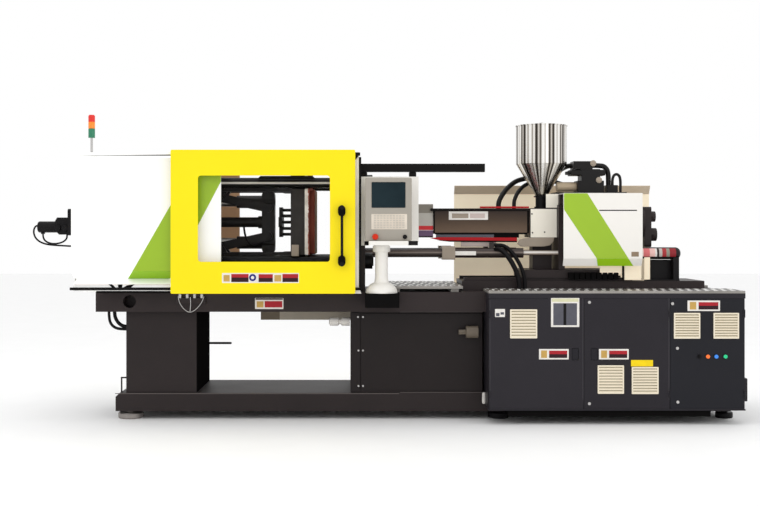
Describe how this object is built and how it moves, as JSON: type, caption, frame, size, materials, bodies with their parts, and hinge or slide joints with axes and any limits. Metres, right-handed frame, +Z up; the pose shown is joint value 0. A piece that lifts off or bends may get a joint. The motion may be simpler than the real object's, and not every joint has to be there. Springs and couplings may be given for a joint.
{
  "type": "injection moulding machine",
  "caption": "Horizontal plastic injection moulding machine: toggle clamp with sliding safety doors, reciprocating screw unit with hopper, operator panel and power cabinet.",
  "frame": {"origin": "on the floor below the middle of the machine's bounding box", "axes": "+X from the clamp end to the injection end, +Y from the operator's side to the rear, +Z up"},
  "size_m": [5.4984, 1.57, 2.31],
  "materials": {
    "feet": "satin",
    "charcoal": "satin",
    "cabinet": "satin",
    "white_sheet": "satin",
    "yellow_sheet": "gloss",
    "tan_sheet": "satin",
    "brown_metal": "satin",
    "panel_grey": "satin",
    "white_metal": "satin",
    "dark_metal": "machined",
    "rail": "satin",
    "steel": "brushed",
    "bright_bar": "polished",
    "polished": "polished",
    "plate": "chequered",
    "hose": "matt",
    "clear_pane": "clear",
    "screen": "dark",
    "lamp": "translucent",
    "red_button": "gloss",
    "black_plastic": "matt"
  },
  "bodies": {
    "machine": {"injection_hose": "hose", "levelling_feet": "feet", "base_frame": "charcoal", "mid_panel": "charcoal", "clamp_bed": "charcoal", "fixed_platen": "charcoal", "tie_bars": "bright_bar", "clamp_covers": "white_sheet", "signal_tower": "lamp", "guide_rails": "rail", "panel_pedestal": "white_sheet", "walk_plates": "plate", "cabinet_shell": "cabinet", "injection_bed": "charcoal", "rear_guard": "tan_sheet", "accumulator": "white_metal", "carriage_cylinders": "steel", "pipe_fittings": "steel", "drip_tray": "steel", "bed_hose": "hose"},
    "front_door": {"front_door_panel": "yellow_sheet", "front_door_window": "clear_pane", "front_door_handle": "black_plastic"},
    "rear_door": {"rear_door_panel": "yellow_sheet", "rear_door_window": "clear_pane"},
    "purge_guard": {"purge_guard": "white_sheet"},
    "panel": {"panel_housing": "panel_grey", "panel_screen": "screen"},
    "estop": {"panel_estop": "red_button"},
    "selector": {"panel_selector": "black_plastic"},
    "tail": {"tail_platen": "charcoal", "clamp_cylinder": "charcoal", "clamp_hose_outer": "hose", "clamp_hose_inner": "hose"},
    "crosshead": {"crosshead": "dark_metal"},
    "rear_upper": {"rear_link_upper": "dark_metal"},
    "rear_lower": {"rear_link_lower": "dark_metal"},
    "front_upper": {"front_link_upper": "dark_metal"},
    "front_lower": {"front_link_lower": "dark_metal"},
    "cross_upper": {"crosshead_link_upper": "dark_metal"},
    "cross_lower": {"crosshead_link_lower": "dark_metal"},
    "moving": {"moving_platen": "dark_metal"},
    "ejector": {"ejector_plate": "steel"},
    "carriage": {"carriage": "charcoal", "barrel": "steel", "barrel_guards": "brown_metal", "hopper_body": "polished", "injection_cover": "white_sheet", "manifold": "dark_metal"},
    "hopper_lid": {"hopper_lid": "polished"},
    "inj_slide": {"injection_slide": "charcoal"},
    "screw": {"screw": "bright_bar"},
    "door_left": {"left_cabinet_door": "cabinet"},
    "door_mid": {"mid_cabinet_door": "cabinet"},
    "door_right": {"right_cabinet_door": "cabinet", "pilot_lamps": "lamp"},
    "latch_left": {"left_door_latch": "black_plastic"},
    "latch_mid": {"mid_door_latch": "black_plastic"},
    "main_switch": {"main_switch": "red_button"},
    "fan": {"fan_rotor": "black_plastic"}
  },
  "joints": [
    {"name": "front_door_slide", "type": "slide", "parent": "machine", "child": "front_door", "axis": [1, 0, 0], "range_m": [-0.72, 0]},
    {"name": "rear_door_slide", "type": "slide", "parent": "machine", "child": "rear_door", "axis": [1, 0, 0], "range_m": [-0.72, 0]},
    {"name": "purge_guard_slide", "type": "slide", "parent": "machine", "child": "purge_guard", "axis": [1, 0, 0], "range_m": [0, 0.42]},
    {"name": "panel_swivel", "type": "hinge", "parent": "machine", "child": "panel", "pos_m": [0.02, -0.62, 1.33], "axis": [0, 0, 1], "range_deg": [-20, 30]},
    {"name": "emergency_press", "type": "slide", "parent": "panel", "child": "estop", "axis": [0, 1, 0], "range_m": [0, 0.004], "stiffness_N_per_m": 800},
    {"name": "selector_turn", "type": "hinge", "parent": "panel", "child": "selector", "pos_m": [0.189, -0.76, 1.394], "axis": [0, 1, 0], "range_deg": [-45, 45]},
    {"name": "mould_height_slide", "type": "slide", "parent": "machine", "child": "tail", "axis": [1, 0, 0], "range_m": [-0.33, 0]},
    {"name": "clamp_slide", "type": "slide", "parent": "tail", "child": "moving", "axis": [1, 0, 0], "range_m": [-0.3858, 0]},
    {"name": "crosshead_slide", "type": "slide", "parent": "tail", "child": "crosshead", "axis": [1, 0, 0], "range_m": [-0.3578, 0]},
    {"name": "rear_link_upper_turn", "type": "hinge", "parent": "tail", "child": "rear_upper", "pos_m": [-1.44, 0, 1.793], "axis": [0, 1, 0], "range_deg": [0, 120.02]},
    {"name": "rear_link_lower_turn", "type": "hinge", "parent": "tail", "child": "rear_lower", "pos_m": [-1.44, 0, 1.223], "axis": [0, 1, 0], "range_deg": [-120.02, 0]},
    {"name": "front_link_upper_turn", "type": "hinge", "parent": "moving", "child": "front_upper", "pos_m": [-0.745, 0, 1.793], "axis": [0, 1, 0], "range_deg": [-25.03, 0]},
    {"name": "front_link_lower_turn", "type": "hinge", "parent": "moving", "child": "front_lower", "pos_m": [-0.745, 0, 1.223], "axis": [0, 1, 0], "range_deg": [0, 25.03]},
    {"name": "crosshead_link_upper_turn", "type": "hinge", "parent": "crosshead", "child": "cross_upper", "pos_m": [-0.868, 0, 1.618], "axis": [0, 1, 0], "range_deg": [-4.42, 0]},
    {"name": "crosshead_link_lower_turn", "type": "hinge", "parent": "crosshead", "child": "cross_lower", "pos_m": [-0.868, 0, 1.398], "axis": [0, 1, 0], "range_deg": [0, 4.42]},
    {"name": "ejector_slide", "type": "slide", "parent": "moving", "child": "ejector", "axis": [1, 0, 0], "range_m": [0, 0.075]},
    {"name": "carriage_slide", "type": "slide", "parent": "machine", "child": "carriage", "axis": [1, 0, 0], "range_m": [-0.265, 0]},
    {"name": "hopper_lid_hinge", "type": "hinge", "parent": "carriage", "child": "hopper_lid", "pos_m": [1.306, 0.212, 2.2703], "axis": [1, 0, 0], "range_deg": [-100, 0]},
    {"name": "injection_slide_travel", "type": "slide", "parent": "carriage", "child": "inj_slide", "axis": [1, 0, 0], "range_m": [0, 0.2]},
    {"name": "screw_spin", "type": "hinge", "parent": "inj_slide", "child": "screw", "pos_m": [1.5, 0, 1.508], "axis": [1, 0, 0], "continuous": true},
    {"name": "left_cabinet_hinge", "type": "hinge", "parent": "machine", "child": "door_left", "pos_m": [0.821, -0.646, 0.5275], "axis": [0, 0, 1], "range_deg": [-110, 0]},
    {"name": "mid_cabinet_hinge", "type": "hinge", "parent": "machine", "child": "door_mid", "pos_m": [2.151, -0.646, 0.5275], "axis": [0, 0, 1], "range_deg": [0, 110]},
    {"name": "right_cabinet_hinge", "type": "hinge", "parent": "machine", "child": "door_right", "pos_m": [2.706, -0.646, 0.5275], "axis": [0, 0, 1], "range_deg": [0, 110]},
    {"name": "left_latch_turn", "type": "hinge", "parent": "door_left", "child": "latch_left", "pos_m": [1.454, -0.633, 0.562], "axis": [1, 0, 0], "range_deg": [-40, 0]},
    {"name": "mid_latch_turn", "type": "hinge", "parent": "door_mid", "child": "latch_mid", "pos_m": [1.594, -0.633, 0.562], "axis": [1, 0, 0], "range_deg": [-40, 0]},
    {"name": "main_switch_turn", "type": "hinge", "parent": "door_right", "child": "main_switch", "pos_m": [2.372, -0.65, 0.508], "axis": [0, 1, 0], "range_deg": [0, 90]},
    {"name": "fan_spin", "type": "hinge", "parent": "machine", "child": "fan", "pos_m": [2.725, -0.5, 0.252], "axis": [1, 0, 0], "continuous": true}
  ],
  "couplings": [
    {"joint": "crosshead_slide", "follows": "clamp_slide", "ratio": 0.92678},
    {"joint": "rear_link_upper_turn", "follows": "clamp_slide", "rad_per_m": -5.4287},
    {"joint": "rear_link_lower_turn", "follows": "clamp_slide", "rad_per_m": 5.4287},
    {"joint": "front_link_upper_turn", "follows": "clamp_slide", "rad_per_m": 1.1316},
    {"joint": "front_link_lower_turn", "follows": "clamp_slide", "rad_per_m": -1.1316},
    {"joint": "crosshead_link_upper_turn", "follows": "clamp_slide", "rad_per_m": 0.19897},
    {"joint": "crosshead_link_lower_turn", "follows": "clamp_slide", "rad_per_m": -0.19897}
  ]
}
